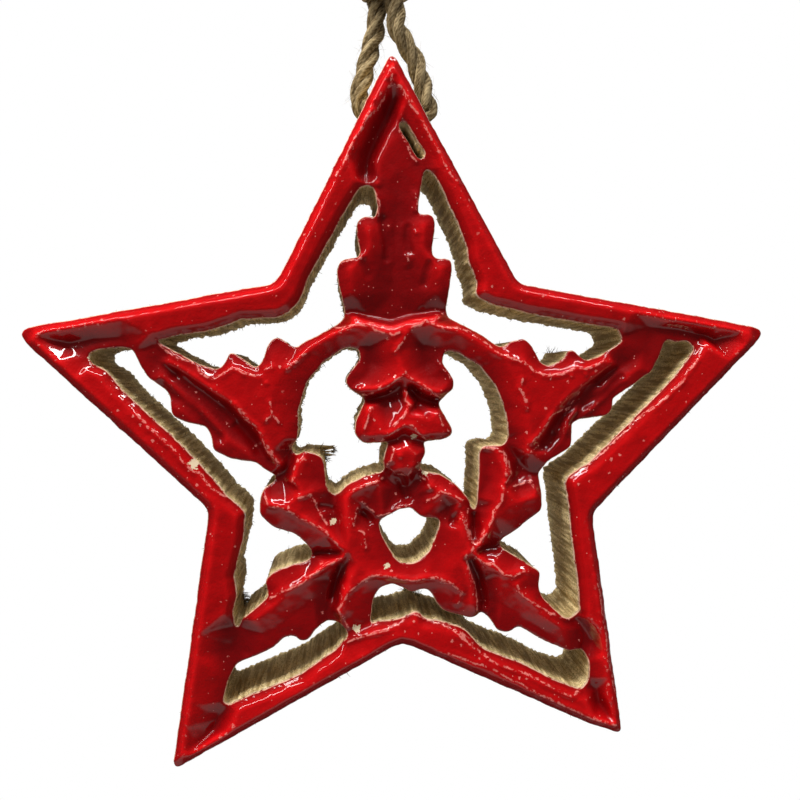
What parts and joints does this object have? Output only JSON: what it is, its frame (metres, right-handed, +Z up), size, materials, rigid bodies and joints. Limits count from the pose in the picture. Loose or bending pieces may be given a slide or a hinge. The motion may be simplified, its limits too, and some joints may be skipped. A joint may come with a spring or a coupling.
{
  "type": "hanging wooden star ornament",
  "caption": "Flat five-pointed star sawn, fretted and carved from a thick board, with glossy red enamel on its front, hung on a jute cord with a knot and a loop.",
  "frame": {"origin": "inside the top of the hanging loop, where a nail or hook bears", "axes": "+X to the right as seen from the carved front, +Z up, and the carved front faces -Y"},
  "size_m": [0.1826, 0.0251, 0.2335],
  "materials": {
    "raw_wood": "rough sawn, unfinished",
    "red_enamel": "thick, wet-looking gloss with speckled wear",
    "jute": "coarse, hairy twisted cord"
  },
  "bodies": {
    "cord": {"cord_leg_left": "jute", "cord_leg_right": "jute", "cord_knot": "jute", "cord_loop": "jute"},
    "star": {"star_board": "raw_wood", "enamel_coat": "red_enamel"}
  },
  "joints": [
    {"name": "star_swing", "type": "hinge", "parent": "cord", "child": "star", "pos_m": [0.00075, 0, -0.0663], "axis": [1, 0, 0], "range_deg": [-45, 45]}
  ]
}
